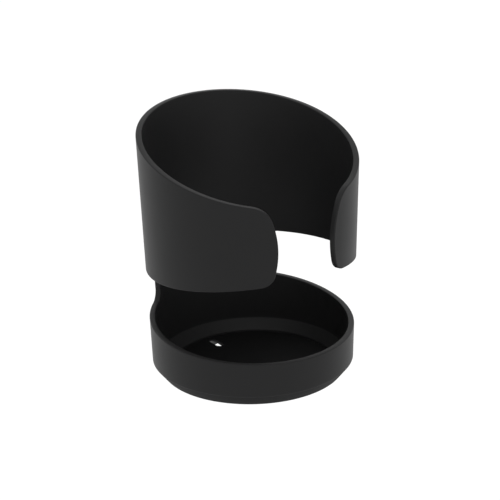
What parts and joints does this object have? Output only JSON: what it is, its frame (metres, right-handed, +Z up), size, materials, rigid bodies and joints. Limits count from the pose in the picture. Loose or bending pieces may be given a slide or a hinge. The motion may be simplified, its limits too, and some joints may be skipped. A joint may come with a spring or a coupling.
{
  "type": "desk clamp cup holder",
  "caption": "Slant-topped open cup cage with a handle gap, on a vertical swivel carried by a screw clamp for a desk edge.",
  "frame": {"origin": "centre of the upper jaw pad's underside, which rests on the desk top, above the clamp screw's axis", "axes": "+Z up, +Y in over the desk, +X to the right as seen by someone in front of the desk edge"},
  "size_m": [0.0907, 0.1586, 0.1415],
  "materials": {
    "cage_plastic": "fine moulded texture",
    "mat_rubber": "matte",
    "bracket_plastic": "fine moulded texture",
    "screw_steel": "zinc plated",
    "insert_brass": "turned",
    "bush_nylon": "natural nylon",
    "frame_paint": "black powder coat",
    "pad_rubber": "matte",
    "bolt_steel": "zinc plated",
    "spring_steel": "tempered",
    "ring_nylon": "moulded nylon",
    "plate_steel": "turned",
    "clip_steel": "phosphated",
    "knob_plastic": "fine moulded texture",
    "cap_plastic": "smooth"
  },
  "bodies": {
    "clamp": {"clamp_frame": "frame_paint", "upper_jaw_pad": "pad_rubber", "desk_edge_pad": "pad_rubber", "pivot_bolt": "bolt_steel", "pivot_washer": "bolt_steel", "disc_spring": "spring_steel", "lock_nut": "bolt_steel", "lock_nut_ring": "ring_nylon", "stop_pin": "spring_steel", "thread_bush": "insert_brass"},
    "holder": {"cup_cage": "cage_plastic", "tray_mat": "mat_rubber", "swivel_bracket": "bracket_plastic", "bracket_screws": "screw_steel", "bracket_inserts": "insert_brass", "swivel_bushes": "bush_nylon"},
    "foot": {"pressure_plate": "plate_steel", "lower_jaw_pad": "pad_rubber"},
    "screw": {"clamp_screw": "screw_steel", "retaining_ring": "clip_steel", "knob": "knob_plastic", "knob_insert": "insert_brass", "knob_cap": "cap_plastic"}
  },
  "joints": [
    {"name": "holder_swivel", "type": "hinge", "parent": "clamp", "child": "holder", "pos_m": [0, -0.046, -0.028], "axis": [0, 0, 1], "range_deg": [-91.3, 28.7]},
    {"name": "foot_slide", "type": "slide", "parent": "clamp", "child": "foot", "axis": [0, 0, 1], "range_m": [-0.015, 0.017]},
    {"name": "screw_turn", "type": "hinge", "parent": "foot", "child": "screw", "pos_m": [0, 0, -0.06], "axis": [0, 0, 1], "range_deg": [-4320.5, 4896.5]}
  ],
  "couplings": [
    {"joint": "screw_turn", "follows": "foot_slide", "rad_per_m": 5026.5}
  ]
}
